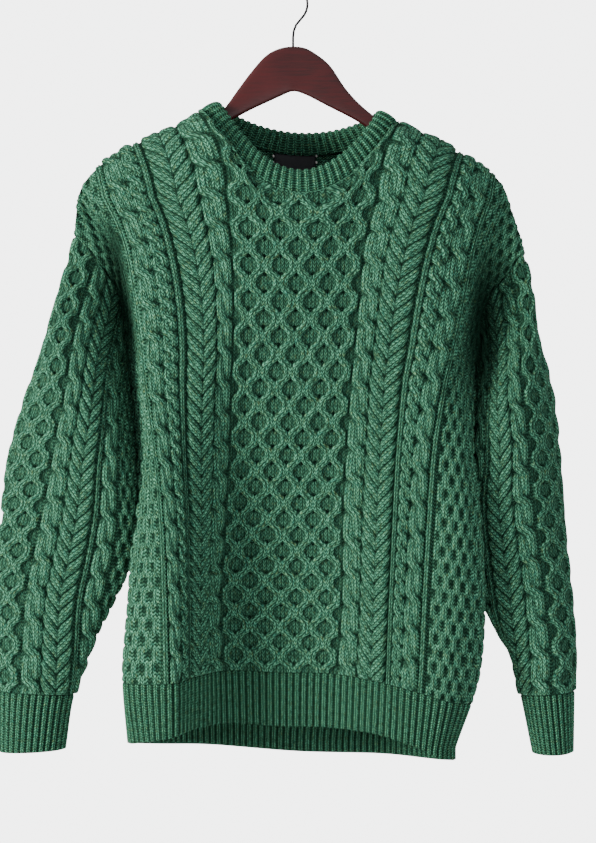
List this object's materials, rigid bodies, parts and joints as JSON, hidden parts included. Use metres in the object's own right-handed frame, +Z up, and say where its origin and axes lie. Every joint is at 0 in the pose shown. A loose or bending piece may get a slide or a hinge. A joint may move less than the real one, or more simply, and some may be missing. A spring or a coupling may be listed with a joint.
{
  "type": "crewneck sweater on hanger",
  "caption": "Cable-knit crewneck sweater hanging on a wooden hanger, with hollow body and sleeves, ribbed neckband, cuffs and hem, and a wire hook above.",
  "frame": {"origin": "inner top of the hook's crook, where a rod or peg holds it", "axes": "+X towards the wearer's left, +Y towards the wearer's back, +Z up"},
  "size_m": [0.6253, 0.1529, 0.8392],
  "materials": {
    "body_wool": "heathered wool cable knit, matt and slightly hairy",
    "sleeve_wool": "heathered wool cable knit, matt and slightly hairy",
    "rib_wool": "heathered wool rib knit, matt",
    "label_weave": "fine woven tape, soft satin",
    "stained_wood": "dark red-brown stain under satin lacquer",
    "black_wire": "blackened steel wire"
  },
  "bodies": {
    "root": {"front": "body_wool", "back": "body_wool", "sleeve_right": "sleeve_wool", "sleeve_left": "sleeve_wool", "hem_rib_front": "rib_wool", "hem_rib_back": "rib_wool", "cuff_right": "rib_wool", "cuff_left": "rib_wool", "neckband": "rib_wool", "neck_label": "label_weave", "hanger_bar": "stained_wood", "hanger_hook": "black_wire"}
  },
  "joints": []
}
